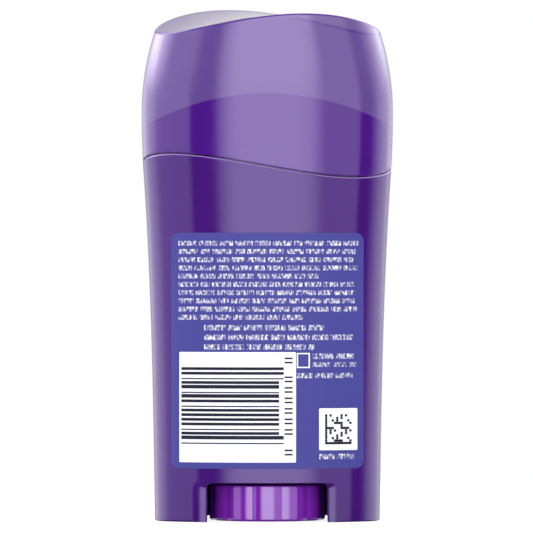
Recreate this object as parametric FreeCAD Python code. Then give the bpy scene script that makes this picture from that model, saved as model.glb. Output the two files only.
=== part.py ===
"""Twist-up deodorant stick with an oval section: barrel, cap, thumb wheel with feed screw,
platform, bar and labels.

Millimetres, +Z up. The origin is the centre of the base, on the surface it stands on.
X runs across the wide side, and the side with the printed back label faces -Y.
"""
import FreeCAD, Part
import math
import os

os.makedirs("parts", exist_ok=True)
Vec = FreeCAD.Vector

# Outer form, half widths along X and heights along Z. The flare shares say how evenly the barrel widens.
FOOT_HALF_WIDTH = 27.0
CAP_HALF_WIDTH = 30.2
DEPTH_SHARE = 0.563
SEAM_Z = 85.3
CAP_WIDEST_Z = 98.0
CAP_TOP_Z = 119.74
CAP_LOWER_CURVE = 480.0
CAP_UPPER_CURVE = 120.0
EVEN_FLARE = 0.42
CUBIC_FLARE = 0.58
FOOT_ROUNDING = 0.5

# The seam is a wave around the oval: tilt across, saddle along the axes, saddle along the diagonals
SEAM_TILT = -0.7
SEAM_SADDLE = 0.3
SEAM_WAVE = 2.3
SEAM_GAP = 0.3
SHOULDER_ROUNDING = 0.5

# The top of the cap is a twisted saddle with a low crown
TOP_TILT = -0.27
TOP_SADDLE = -1.91
TOP_WAVE = -1.71
TOP_BACK_LIFT = 0.91
TOP_CROWN = 1.2
TOP_ROUNDING = 0.5

# Walls and running clearances
CAP_WALL = 1.25
BARREL_WALL = 1.25
CAP_CLEARANCE = 0.3
NECK_TOP_Z = 102.2
NECK_ARCH_DROP = 6.7
BAR_CLEARANCE = 0.3

# Base, finger arch and feet
FLOOR_Z = 9.3
FLOOR_THICKNESS = 1.2
ARCH_HALF_WIDTH = 14.35
ARCH_CORNER = 1.2
ARCH_FLARE = 2.1
FOOT_WALL = 1.25
RIB_DEPTH = 6.0
RIB_LOW_Z = 1.2
RIB_GAP = 0.3

# Thumb wheel and feed screw, one moulding
WHEEL_SIDE_GAP = 0.45
WHEEL_RADIUS = ARCH_HALF_WIDTH - WHEEL_SIDE_GAP
WHEEL_LIFT = 0.2
WHEEL_TOP_GAP = 0.4
LOBE_COUNT = 12
LOBE_ROUNDNESS = 2.1
WHEEL_EDGE = 0.6
WHEEL_WALL = 2.2
WHEEL_DISC = 1.6
JOURNAL_RADIUS = 4.0
JOURNAL_CLEARANCE = 0.08
COLLAR_RADIUS = 4.7
COLLAR_HEIGHT = 1.2
COLLAR_GAP = 0.3
COLLAR_TAPER = 1.1
SCREW_CORE_RADIUS = 2.6
THREAD_DEPTH = 0.8
THREAD_PITCH = 4.0
LIFT_TURNS = 12
TIP_CHAMFER = 0.8

# Platform and bar
PLATFORM_GAP = 0.3
PLATFORM_THICKNESS = 1.6
SKIRT_HEIGHT = 6.0
SKIRT_WALL = 1.1
NUT_RADIUS = 6.0
NUT_CLEARANCE = 0.1
BAR_CORE_CLEARANCE = 0.4
TIP_GAP = 1.0
BAR_HEAD = 3.2
BAR_ARCH_DROP = 6.0
BAR_DEPTH_DROP = 1.2
BAR_EDGE = 1.5

# Labels and the plain shapes printed on the back one
LABEL_WIDTH = 45.8
LABEL_LOW_Z = 12.8
LABEL_HIGH_Z = 69.0
LABEL_CORNER = 1.9
LABEL_FILM = 0.2
GLUE_GAP = 0.02
INK_FILM = 0.1
PANEL_LEFT = -20.9
PANEL_WIDTH = 27.7
PANEL_LOW_Z = 14.3
PANEL_HEIGHT = 26.3
STRIPE_LEFT = -20.4
STRIPE_LENGTH = 23.2
STRIPE_LOW_Z = 18.7
STRIPE_COUNT = 17
STRIPE_PITCH = 1.1
STRIPE_THINNEST = 0.27
STRIPE_STEP = 0.17
STRIPE_LONGER = 1.1
PANEL_CORNER = 0.3
CODE_LEFT = 12.3
CODE_WIDTH = 9.1
CODE_LOW_Z = 17.2
CODE_HEIGHT = 10.0
CODE_CELLS = 12
CODE_MARGIN = 1.4
CELL_FILL = 0.94


def cap_half_width(height):
    """Half width of the cap: widest at one height, and a parabola above and below it."""
    curve = CAP_UPPER_CURVE if height > CAP_WIDEST_Z else CAP_LOWER_CURVE
    return CAP_HALF_WIDTH - (height - CAP_WIDEST_Z) ** 2 / curve


SEAM_HALF_WIDTH = cap_half_width(SEAM_Z)


def barrel_half_width(height):
    """Half width of the barrel: an even rise and a cubic flare, flush with the cap at the seam."""
    share = height / SEAM_Z
    return FOOT_HALF_WIDTH + (SEAM_HALF_WIDTH - FOOT_HALF_WIDTH) * (EVEN_FLARE * share + CUBIC_FLARE * share ** 3)


def outline_curve(half_width, low, high, grow):
    """The side outline as one cubic arc through four points, exact for a cubic formula."""
    levels = [low + (high - low) * i / 3 for i in range(4)]
    w = [half_width(z) + grow for z in levels]
    inner_low = (-5 * w[0] + 18 * w[1] - 9 * w[2] + 2 * w[3]) / 6
    inner_high = (2 * w[0] - 9 * w[1] + 18 * w[2] - 5 * w[3]) / 6
    curve = Part.BezierCurve()
    curve.setPoles([Vec(x, 0, z) for x, z in zip((w[0], inner_low, inner_high, w[3]), levels)])
    return curve


def level_edges(solid, height):
    """The edges of a solid that lie at one height."""
    return [e for e in solid.Edges if e.BoundBox.ZLength < 1e-6 and abs(e.BoundBox.ZMax - height) < 1e-6]


def oval_solid(half_width, low, high, grow=0.0, depth_share=DEPTH_SHARE, edge=0.0):
    """A solid with oval sections: the outline is turned about Z and then flattened along Y. With a rounded
    lower edge it gets a stem inside that rounding, and the cut through the stem leaves a true plane."""
    curve = outline_curve(half_width, low, high, grow)
    bottom = curve.StartPoint
    top = curve.EndPoint
    edges = [curve.toShape(),
             Part.makeLine(top, Vec(0, 0, high)),
             Part.makeLine(Vec(0, 0, high), Vec(0, 0, low)),
             Part.makeLine(Vec(0, 0, low), bottom)]
    face = Part.Face(Part.Wire(edges))
    solid = face.revolve(Vec(0, 0, 0), Vec(0, 0, 1), 360)
    squash = FreeCAD.Matrix()
    squash.scale(1.0, depth_share, 1.0)
    if edge == 0:
        return solid.transformGeometry(squash)
    solid = solid.makeFillet(edge, level_edges(solid, low))
    flat_radius = max(e.BoundBox.XLength for e in level_edges(solid, low)) / 2
    solid = solid.fuse(Part.makeCylinder(flat_radius, 1.0, Vec(0, 0, low - 1.0)))
    side = 2 * bottom.x
    return solid.transformGeometry(squash).cut(box(-side, side, -side, side, low - 2.0, low))


def oval_prism(half_width, half_depth, low, high, flare=0.0, flare_depth=0.0):
    """A straight or evenly flared oval plug between two heights."""
    lower = Part.Ellipse(Vec(0, 0, low), half_width, half_depth)
    upper = Part.Ellipse(Vec(0, 0, high), half_width + flare, half_depth + flare_depth)
    return Part.makeLoft([Part.Wire([oval.toShape()]) for oval in (lower, upper)], True, True)


def block_above(surface_height):
    """Everything above a surface z = surface_height(x, y), which is at most quadratic in x and in y."""
    reach = 1.5 * CAP_HALF_WIDTH
    top = 2 * CAP_TOP_Z
    places = (-reach, 0.0, reach)
    heights = [[surface_height(x, y) for y in places] for x in places]
    rows = [[h[0], 2 * h[1] - (h[0] + h[2]) / 2, h[2]] for h in heights]
    middle = [2 * b - (a + c) / 2 for a, b, c in zip(*rows)]
    poles = [rows[0], middle, rows[2]]
    sheet = Part.BezierSurface()
    sheet.increase(2, 2)
    for i, x in enumerate(places):
        for j, y in enumerate(places):
            sheet.setPole(i + 1, j + 1, Vec(x, y, poles[i][j]))
    return sheet.toShape().extrude(Vec(0, 0, top))


def seam_height(x, y):
    """Height of the seam between barrel and cap."""
    u = x / SEAM_HALF_WIDTH
    v = y / (SEAM_HALF_WIDTH * DEPTH_SHARE)
    return SEAM_Z + SEAM_TILT * u + SEAM_SADDLE * (u * u - v * v) + 2 * SEAM_WAVE * u * v


def top_height(x, y):
    """Height of the top of the cap."""
    a = cap_half_width(CAP_TOP_Z)
    u = x / a
    v = y / (a * DEPTH_SHARE)
    wave = TOP_TILT * u + TOP_SADDLE * (u * u - v * v) + 2 * TOP_WAVE * u * v + TOP_BACK_LIFT * v
    return CAP_TOP_Z + wave + TOP_CROWN * (1 - u * u - v * v)


NECK_HALF_WIDTH = CAP_HALF_WIDTH - CAP_WALL - CAP_CLEARANCE
NECK_HALF_DEPTH = CAP_HALF_WIDTH * DEPTH_SHARE - CAP_WALL - CAP_CLEARANCE
BORE_LOW_Z = FLOOR_Z + FLOOR_THICKNESS
BORE_HALF_WIDTH = barrel_half_width(BORE_LOW_Z) - BARREL_WALL
BORE_HALF_DEPTH = barrel_half_width(BORE_LOW_Z) * DEPTH_SHARE - BARREL_WALL


def bore_at(height, clearance):
    """Half width and half depth of the bore at a height, less a clearance. It widens evenly up to the neck."""
    share = (height - BORE_LOW_Z) / (NECK_TOP_Z - BORE_LOW_Z)
    flare = NECK_HALF_WIDTH - BARREL_WALL - BORE_HALF_WIDTH
    flare_depth = NECK_HALF_DEPTH - BARREL_WALL - BORE_HALF_DEPTH
    return BORE_HALF_WIDTH + flare * share - clearance, BORE_HALF_DEPTH + flare_depth * share - clearance


def bore_plug(low, high, clearance=0.0):
    """The flared bore between two heights, less a clearance."""
    a_low, b_low = bore_at(low, clearance)
    a_high, b_high = bore_at(high, clearance)
    return oval_prism(a_low, b_low, low, high, a_high - a_low, b_high - b_low)


def neck_rim_height(x, y):
    """The rim of the neck is an arch across the wide side."""
    return NECK_TOP_Z - NECK_ARCH_DROP * (x / NECK_HALF_WIDTH) ** 2


def box(x0, x1, y0, y1, z0, z1):
    """A box from its lowest and highest corner."""
    return Part.makeBox(x1 - x0, y1 - y0, z1 - z0, Vec(x0, y0, z0))


def arch_cutter():
    """The opening for finger and thumb: straight through from front to back, with round top corners."""
    reach = CAP_HALF_WIDTH
    slot = box(-ARCH_HALF_WIDTH, ARCH_HALF_WIDTH, -reach, reach, -5.0, FLOOR_Z)
    corners = [e for e in slot.Edges if abs(e.BoundBox.ZMin - FLOOR_Z) < 1e-6 and e.BoundBox.YLength > reach]
    return slot.makeFillet(ARCH_CORNER, corners)


def arch_flare_cutter(side, front):
    """Rounds one upright edge of the arch: the strip outside a round bead of the flare's radius."""
    outer_depth = FOOT_HALF_WIDTH * DEPTH_SHARE
    r = ARCH_FLARE
    bead_x = ARCH_HALF_WIDTH + r
    a = FOOT_HALF_WIDTH - r
    bead_y = (outer_depth - r) * math.sqrt(1 - (bead_x / a) ** 2)
    high = FLOOR_Z - ARCH_CORNER / 2
    strip = box(ARCH_HALF_WIDTH - 0.5, bead_x + r * 0.35, bead_y, outer_depth + 5, -1.0, high)
    bead = Part.makeCylinder(r, high + 2, Vec(bead_x, bead_y, -1.5))
    core = box(bead_x, bead_x + r, bead_y - 1, bead_y + r * 0.93, -1.5, high + 1)
    cutter = strip.cut(bead).cut(core)
    if side < 0:
        cutter = cutter.mirror(Vec(0, 0, 0), Vec(1, 0, 0))
    if front < 0:
        cutter = cutter.mirror(Vec(0, 0, 0), Vec(0, 1, 0))
    return cutter


def make_rib(side):
    """A rib from the inner wall of a foot round the far side of the wheel, which closes the view past it."""
    near = side * math.sqrt(WHEEL_RADIUS ** 2 - RIB_DEPTH ** 2)
    far = side * (ARCH_HALF_WIDTH + FOOT_WALL / 2)
    rib = box(min(near, far), max(near, far), 0.0, RIB_DEPTH, RIB_LOW_Z, FLOOR_Z + FLOOR_THICKNESS / 2)
    return rib.cut(Part.makeCylinder(WHEEL_RADIUS + RIB_GAP, FLOOR_Z + FLOOR_THICKNESS))


def make_barrel():
    """Outer shell, shoulder, arched neck, flared bore, floor with the screw hole, and two hollow feet."""
    swing = abs(SEAM_TILT) + abs(SEAM_SADDLE) + 2 * SEAM_WAVE
    outer = oval_solid(barrel_half_width, 0.0, SEAM_Z + 2 * swing, edge=FOOT_ROUNDING)
    outer = outer.cut(block_above(lambda x, y: seam_height(x, y) - SEAM_GAP))
    upper = [e for e in outer.Edges if e.BoundBox.ZMin > SEAM_Z - 2 * swing]
    outer = outer.makeFillet(SHOULDER_ROUNDING, [e for e in upper if e.BoundBox.XLength > SEAM_HALF_WIDTH])
    neck = oval_prism(NECK_HALF_WIDTH, NECK_HALF_DEPTH, SEAM_Z - 2 * swing, NECK_TOP_Z + 2)
    neck = neck.cut(block_above(neck_rim_height))
    body = outer.fuse(neck)
    body = body.cut(bore_plug(BORE_LOW_Z, NECK_TOP_Z + 3))
    body = body.cut(arch_cutter())
    for front in (-1, 1):
        for side in (-1, 1):
            body = body.cut(arch_flare_cutter(side, front))
    foot_share = (FOOT_HALF_WIDTH * DEPTH_SHARE - FOOT_WALL) / (FOOT_HALF_WIDTH - FOOT_WALL)
    foot_core = oval_solid(barrel_half_width, -1.0, FLOOR_Z, -FOOT_WALL, foot_share)
    for side in (-1, 1):
        inner, outer_x = side * (ARCH_HALF_WIDTH + FOOT_WALL), side * 2 * FOOT_HALF_WIDTH
        keep = box(min(inner, outer_x), max(inner, outer_x), -FOOT_HALF_WIDTH, FOOT_HALF_WIDTH, -1.0, FLOOR_Z)
        body = body.cut(foot_core.common(keep))
    body = body.fuse([make_rib(side) for side in (-1, 1)])
    hole = Part.makeCylinder(JOURNAL_RADIUS + JOURNAL_CLEARANCE, 20, Vec(0, 0, FLOOR_Z - 5))
    return body.cut(hole)


def make_cap():
    """The cap: one moulded shell with a wavy mouth, a twisted top and a rounded rim."""
    low = SEAM_Z - 2 * SEAM_WAVE - 4 * SEAM_GAP - 2.0
    high = CAP_TOP_Z + abs(TOP_TILT) + abs(TOP_SADDLE) + 2 * abs(TOP_WAVE) + TOP_CROWN
    lower = oval_solid(cap_half_width, low, CAP_WIDEST_Z)
    upper = oval_solid(cap_half_width, CAP_WIDEST_Z, high)
    outer = lower.fuse(upper)
    outer = outer.cut(block_above(top_height))
    rim = [e for e in outer.Edges if e.BoundBox.ZMin > CAP_TOP_Z - 9 and e.BoundBox.XLength > CAP_HALF_WIDTH]
    outer = outer.makeFillet(TOP_ROUNDING, rim)
    straight = oval_prism(CAP_HALF_WIDTH - CAP_WALL, CAP_HALF_WIDTH * DEPTH_SHARE - CAP_WALL,
                          low - 1, CAP_WIDEST_Z)
    share = (CAP_HALF_WIDTH * DEPTH_SHARE - CAP_WALL) / (CAP_HALF_WIDTH - CAP_WALL)
    room = oval_solid(cap_half_width, CAP_WIDEST_Z, high, -CAP_WALL, share)
    room = straight.fuse(room)
    room = room.cut(block_above(lambda x, y: top_height(x, y) - CAP_WALL))
    shell = outer.cut(room)
    return shell.common(block_above(seam_height))


def lobed_disc(height):
    """A prism whose outline is a ring of convex lobes, each rounder than the wheel itself."""
    radius = WHEEL_RADIUS / LOBE_ROUNDNESS
    offset = WHEEL_RADIUS - radius
    half = math.pi / LOBE_COUNT
    reach = half + math.asin(offset * math.sin(half) / radius)
    groove = math.hypot(offset + radius * math.cos(reach), radius * math.sin(reach))
    arcs = []
    for i in range(LOBE_COUNT):
        middle = 2 * half * i - math.pi / 2
        ends = [Vec(groove * math.cos(middle + t), groove * math.sin(middle + t), 0) for t in (-half, half)]
        crest = Vec(WHEEL_RADIUS * math.cos(middle), WHEEL_RADIUS * math.sin(middle), 0)
        arcs.append(Part.Arc(ends[0], crest, ends[1]).toShape())
    return Part.Face(Part.Wire(arcs)).extrude(Vec(0, 0, height))


def make_thumb_wheel():
    """Lobed wheel, smooth journal, snap collar and the core of the feed screw, turned about Z."""
    top = FLOOR_Z - WHEEL_TOP_GAP
    disc = Part.makeCylinder(WHEEL_RADIUS, top - WHEEL_LIFT, Vec(0, 0, WHEEL_LIFT))
    disc = disc.makeFillet(WHEEL_EDGE, [e for e in disc.Edges if e.BoundBox.ZLength < 1e-6])
    wheel = disc.common(lobed_disc(top))
    well = Part.makeCylinder(WHEEL_RADIUS - WHEEL_WALL, top - WHEEL_DISC)
    wheel = wheel.cut(well)
    hub = Part.makeCylinder(JOURNAL_RADIUS, top, Vec(0, 0, WHEEL_LIFT))
    wheel = wheel.fuse(hub)
    journal_top = BORE_LOW_Z + COLLAR_GAP
    journal = Part.makeCylinder(JOURNAL_RADIUS, journal_top - top + 0.5, Vec(0, 0, top - 0.5))
    collar = Part.makeCone(COLLAR_RADIUS, COLLAR_RADIUS - COLLAR_TAPER, COLLAR_HEIGHT, Vec(0, 0, journal_top))
    tip = screw_tip_height()
    core = Part.makeCylinder(SCREW_CORE_RADIUS, tip - journal_top, Vec(0, 0, journal_top))
    core = core.makeChamfer(TIP_CHAMFER, [e for e in core.Edges if e.BoundBox.ZMin > tip - 0.01])
    return wheel.fuse([journal, collar, core]).removeSplitter()


def platform_low():
    """Height of the platform's lower edge at rest."""
    return BORE_LOW_Z + COLLAR_GAP + COLLAR_HEIGHT + PLATFORM_GAP


def screw_tip_height():
    """The screw reaches through the nut at the top of the travel."""
    return platform_low() + THREAD_PITCH * LIFT_TURNS + SKIRT_HEIGHT


def make_platform():
    """Oval plate with a hanging skirt and a nut, which rides up the feed screw."""
    low = platform_low()
    high = low + SKIRT_HEIGHT
    outer = bore_plug(low, high, BAR_CLEARANCE)
    inner = bore_plug(low, high - PLATFORM_THICKNESS, BAR_CLEARANCE + SKIRT_WALL)
    nut = Part.makeCylinder(NUT_RADIUS, SKIRT_HEIGHT, Vec(0, 0, low))
    screw_radius = SCREW_CORE_RADIUS + THREAD_DEPTH
    hole = Part.makeCylinder(screw_radius + NUT_CLEARANCE, 40, Vec(0, 0, low - 5))
    return outer.cut(inner).fuse(nut).cut(hole)


def bar_top_height(x, y):
    """The head of the bar is an arch across and a lower arch from front to back."""
    across = BAR_ARCH_DROP * (x / BORE_HALF_WIDTH) ** 2
    deep = BAR_DEPTH_DROP * (y / BORE_HALF_DEPTH) ** 2
    return screw_tip_height() + BAR_HEAD - across - deep


def make_bar():
    """The bar of deodorant, part used, with a blind hole round the screw."""
    low = platform_low() + SKIRT_HEIGHT
    bar = bore_plug(low, screw_tip_height() + BAR_HEAD + 2, BAR_CLEARANCE)
    bar = bar.cut(block_above(bar_top_height))
    rim = [e for e in bar.Edges if e.BoundBox.ZMin > low + 5 and e.BoundBox.XLength > BORE_HALF_WIDTH]
    bar = bar.makeFillet(BAR_EDGE, rim)
    screw_radius = SCREW_CORE_RADIUS + THREAD_DEPTH
    hole_height = screw_tip_height() + TIP_GAP - low
    hole = Part.makeCylinder(screw_radius + BAR_CORE_CLEARANCE, hole_height + 1, Vec(0, 0, low - 1))
    return bar.cut(hole)


def skin(low_grow, high_grow, side):
    """A thin skin outside the barrel, between two growths, on one side of it."""
    outer = oval_solid(barrel_half_width, 2.0, SEAM_Z - 5, high_grow)
    inner = oval_solid(barrel_half_width, 1.0, SEAM_Z - 4, low_grow)
    reach = 2 * SEAM_HALF_WIDTH
    half = box(-reach, reach, min(0, side * reach), max(0, side * reach), 0, SEAM_Z)
    return outer.common(half).cut(inner)


def rounded_window(left, width, low, height, corner, side):
    """A rounded rectangle, carried along Y, to cut a label out of a skin."""
    depth = SEAM_HALF_WIDTH
    y0 = min(0, side * depth)
    window = box(left, left + width, y0, y0 + depth, low, low + height)
    if corner > 0:
        posts = [e for e in window.Edges if e.BoundBox.YLength > depth / 2]
        window = window.makeFillet(corner, posts)
    return window


def dark_runs(row):
    """Dark runs of one row of the square: its left and lower borders, and cells that a sum of squares picks."""
    runs = []
    for column in range(CODE_CELLS):
        if row > 0 and column > 0 and (row * row + 3 * column * column + 2 * row * column) % 7 > 2:
            continue
        if runs and runs[-1][1] == column:
            runs[-1][1] = column + 1
        else:
            runs.append([column, column + 1])
    return runs


def make_labels():
    """Back label on -Y with its printed panels, and a bare front label on +Y."""
    nodes = {}
    film_out = GLUE_GAP / DEPTH_SHARE + LABEL_FILM / DEPTH_SHARE
    film = (GLUE_GAP / DEPTH_SHARE, film_out)
    for name, side in (("back_label", -1), ("front_label", 1)):
        window = rounded_window(-LABEL_WIDTH / 2, LABEL_WIDTH, LABEL_LOW_Z, LABEL_HIGH_Z - LABEL_LOW_Z,
                                LABEL_CORNER, side)
        nodes[name] = skin(film[0], film[1], side).common(window)
    white = skin(film_out, film_out + INK_FILM / DEPTH_SHARE, -1)
    black = skin(film_out + INK_FILM / DEPTH_SHARE, film_out + 2 * INK_FILM / DEPTH_SHARE, -1)
    panel = rounded_window(PANEL_LEFT, PANEL_WIDTH, PANEL_LOW_Z, PANEL_HEIGHT, PANEL_CORNER, -1)
    square = rounded_window(CODE_LEFT, CODE_WIDTH, CODE_LOW_Z, CODE_HEIGHT, PANEL_CORNER, -1)
    nodes["barcode_panel"] = white.common(panel)
    nodes["code_panel"] = white.common(square)
    stripes = []
    for i in range(STRIPE_COUNT):
        thickness = STRIPE_PITCH * (STRIPE_THINNEST + STRIPE_STEP * (7 * i * i % 11 % 4))
        low = STRIPE_LOW_Z + STRIPE_PITCH * i
        longer = STRIPE_LONGER if i < 2 or i > STRIPE_COUNT - 4 else 0
        stripes.append(rounded_window(STRIPE_LEFT, STRIPE_LENGTH + longer, low, thickness, 0, -1))
    nodes["barcode_stripes"] = Part.makeCompound([black.common(s) for s in stripes])
    cells = []
    cell = (CODE_WIDTH - 2 * CODE_MARGIN) / CODE_CELLS
    cell_height = (CODE_HEIGHT - 2 * CODE_MARGIN) / CODE_CELLS
    for row in range(CODE_CELLS):
        z = CODE_LOW_Z + CODE_MARGIN + row * cell_height
        for first, last in dark_runs(row):
            left = CODE_LEFT + CODE_MARGIN + first * cell
            piece = rounded_window(left, (last - first) * cell, z, cell_height * CELL_FILL, 0, -1)
            cells.append(black.common(piece))
    nodes["code_cells"] = Part.makeCompound(cells)
    return nodes


def main():
    """Build every node and write one file for each."""
    nodes = {
        "barrel": make_barrel(),
        "cap": make_cap(),
        "thumb_wheel": make_thumb_wheel(),
        "platform": make_platform(),
        "deodorant_bar": make_bar(),
    }
    nodes.update(make_labels())
    for name, shape in nodes.items():
        b = shape.optimalBoundingBox()
        print(f"{name}: solids {len(shape.Solids)} valid {shape.isValid()} volume {shape.Volume:.1f} "
              f"x {b.XMin:.2f} {b.XMax:.2f} y {b.YMin:.2f} {b.YMax:.2f} z {b.ZMin:.2f} {b.ZMax:.2f}")
        shape.exportStep(f"parts/{name}.step")


main()
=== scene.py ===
"""Looks for a twist-up deodorant stick: fine surfaces, finishes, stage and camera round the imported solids."""
import math

import bmesh
import bpy
import numpy as np
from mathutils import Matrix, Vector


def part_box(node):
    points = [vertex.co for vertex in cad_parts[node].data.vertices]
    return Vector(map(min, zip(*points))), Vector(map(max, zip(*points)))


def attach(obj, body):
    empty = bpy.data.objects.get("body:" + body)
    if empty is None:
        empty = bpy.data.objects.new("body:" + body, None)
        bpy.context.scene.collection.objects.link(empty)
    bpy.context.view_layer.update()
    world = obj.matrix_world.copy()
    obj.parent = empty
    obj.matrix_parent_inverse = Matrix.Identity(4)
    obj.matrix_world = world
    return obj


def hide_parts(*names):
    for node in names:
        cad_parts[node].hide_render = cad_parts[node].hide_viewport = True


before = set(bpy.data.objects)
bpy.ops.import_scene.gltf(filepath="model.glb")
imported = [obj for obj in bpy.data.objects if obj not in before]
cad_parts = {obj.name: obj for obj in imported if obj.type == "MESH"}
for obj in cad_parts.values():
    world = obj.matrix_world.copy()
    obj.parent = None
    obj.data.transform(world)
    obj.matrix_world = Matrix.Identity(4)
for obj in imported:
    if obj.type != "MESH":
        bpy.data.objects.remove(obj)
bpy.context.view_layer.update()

bl_info = {
    "name": "Twist-up stick",
    "version": (1, 0, 0),
    "blender": (4, 5, 0),
    "location": "View3D > Sidebar > Stick",
    "description": "Builds the surfaces, finishes and stage of an oval twist-up stick",
    "category": "Add Mesh",
}

MM = 0.001
AROUND = 256
# Rows of faces on a rounding that take the edge's own material: on the barrel's shoulder a painted highlight,
# on the cap's rim an opaque band
EDGE_ROWS = 5
PHOTO_SIDE = 533


def length(name, description, default):
    """A property that holds a length in metres."""
    return bpy.props.FloatProperty(name=name, description=description, default=default, unit="LENGTH",
                                   precision=5)


def colour(name, description, default):
    """A property that holds a colour."""
    return bpy.props.FloatVectorProperty(name=name, description=description, default=default, subtype="COLOR",
                                         size=3, min=0.0, max=1.0)


def number(name, description, default):
    """A property that holds a plain number."""
    return bpy.props.FloatProperty(name=name, description=description, default=default)


class StickShape(bpy.types.PropertyGroup):
    """Sizes of the moulded pieces, in the frame of the solids."""
    foot_half_width: length("Foot half width", "Half of the barrel's width at the floor", 0.0270)
    seam_half_width: length("Seam half width", "Half of the barrel's width at the seam", 0.029864)
    cap_half_width: length("Cap half width", "Half of the cap's greatest width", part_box("cap")[1].x)
    depth_share: number("Depth share", "Depth of the oval as a share of its width", 0.563)
    seam_z: length("Seam height", "Mean height of the seam", 0.0853)
    seam_tilt: length("Seam tilt", "How far the seam tilts across", -0.0007)
    seam_saddle: length("Seam saddle", "How far the seam rises on the wide axis", 0.0003)
    seam_wave: length("Seam wave", "Height of the seam's diagonal wave", 0.0023)
    seam_gap: length("Seam gap", "Gap between cap and shoulder", 0.0003)
    shoulder_rounding: length("Shoulder rounding", "Rounding of the barrel's shoulder", 0.0005)
    foot_rounding: length("Foot rounding", "Rounding of the lower edge", 0.0005)
    cap_widest_z: length("Widest height", "Height at which the cap is widest", 0.098)
    cap_top_z: length("Top height", "Mean height of the cap's top", 0.11974)
    cap_lower_curve: length("Lower curve", "Curve of the cap's outline below its widest height", 0.480)
    cap_upper_curve: length("Upper curve", "Curve of the cap's outline above its widest height", 0.120)
    top_tilt: length("Top tilt", "How far the cap's top tilts across", -0.00027)
    top_saddle: length("Top saddle", "Saddle of the cap's top along the wide axis", -0.00191)
    top_wave: length("Top wave", "Twist of the cap's top", -0.00171)
    top_back_lift: length("Back lift", "How far the cap's top rises to the back", 0.00091)
    top_crown: length("Crown", "Height of the crown on the cap's top", 0.0012)
    top_rounding: length("Rim rounding", "Rounding of the cap's upper rim", 0.0005)
    roof_rounding: length("Roof rounding", "Rounding between the cap's inner wall and roof", 0.0008)
    lip_rounding: length("Lip rounding", "Rounding of the cap's mouth", 0.0002)
    cap_wall: length("Cap wall", "Wall of the cap", 0.00125)
    neck_gap: length("Neck gap", "Clearance between neck and cap", 0.0003)
    neck_top_z: length("Neck height", "Height of the neck's rim at its middle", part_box("barrel")[1].z)
    neck_arch_drop: length("Neck arch", "How far the neck's rim falls to its ends", 0.0067)
    neck_rounding: length("Neck rounding", "Rounding of the neck's rim", 0.0004)
    bore_half_width: length("Bore half width", "Half width of the bore at the floor plate", 0.025901)
    bore_half_depth: length("Bore half depth", "Half depth of the bore at the floor plate", 0.014036)
    bore_flare: length("Bore flare", "How much wider the bore is at the neck", 0.001499)
    bore_flare_depth: length("Bore depth flare", "How much deeper the bore is at the neck", 0.000167)
    floor_z: length("Floor plate", "Height of the floor plate's underside", 0.0093)
    floor_thickness: length("Floor thickness", "Thickness of the floor plate", 0.0012)
    arch_half_width: length("Arch half width", "Half of the finger arch's width", 0.01435)
    arch_corner: length("Arch corner", "Rounding of the arch's upper corners", 0.0012)
    arch_flare: length("Arch flare", "Width of the eased upright edges of the arch", 0.0042)
    flare_depth: length("Flare depth", "Depth of the eased upright edges of the arch", 0.0012)
    foot_wall: length("Foot wall", "Wall of the hollow feet", 0.00125)
    rib_depth: length("Rib depth", "How far the ribs reach round the far side of the wheel", 0.0060)
    rib_low_z: length("Rib foot", "Height of the lower end of the ribs", 0.0012)
    rib_gap: length("Rib gap", "Gap between the ribs and the wheel", 0.0003)
    hole_radius: length("Screw hole", "Radius of the hole in the floor plate", 0.00408)


class WheelShape(bpy.types.PropertyGroup):
    """Sizes of the thumb wheel with its feed screw, and of the bar."""
    radius: length("Wheel radius", "Radius over the lobes", 0.0139)
    low_z: length("Wheel foot", "Height of the wheel's lower face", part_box("thumb_wheel")[0].z)
    top_z: length("Wheel top", "Height of the wheel's upper face", 0.0089)
    lobes: bpy.props.IntProperty(name="Lobes", description="Number of lobes round the wheel", default=12)
    lobe_roundness: number("Lobe roundness", "How much rounder a lobe is than the wheel", 2.1)
    edge: length("Wheel edge", "Rounding of the wheel's rims", 0.0006)
    wall: length("Wheel wall", "Wall round the hollow underside", 0.0022)
    disc: length("Wheel disc", "Thickness of the wheel's disc", 0.0016)
    journal_radius: length("Journal", "Radius of the journal", 0.0040)
    collar_radius: length("Collar", "Radius of the snap collar", 0.0047)
    collar_z: length("Collar height", "Height of the snap collar's underside", 0.0108)
    collar_height: length("Collar length", "Length of the snap collar", 0.0012)
    core_radius: length("Screw core", "Radius of the feed screw's core", 0.0026)
    thread_depth: length("Thread depth", "Height of the thread", 0.0008)
    thread_pitch: length("Thread pitch", "Rise of the thread in one turn", 0.0040)
    screw_top_z: length("Screw tip", "Height of the screw's tip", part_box("thumb_wheel")[1].z)
    bar_gap: length("Bar gap", "Clearance between bar and bore", 0.0003)
    bar_low_z: length("Bar foot", "Height of the bar's underside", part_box("deodorant_bar")[0].z)
    bar_top_z: length("Bar head", "Height of the bar's head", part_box("deodorant_bar")[1].z)
    bar_arch_drop: length("Bar arch", "How far the head falls to its ends", 0.0060)
    bar_depth_drop: length("Bar depth arch", "How far the head falls to front and back", 0.0012)
    bar_edge: length("Bar edge", "Rounding of the bar's head", 0.0015)
    bar_hole: length("Bar hole", "Radius of the hole round the screw", 0.0038)


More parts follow.
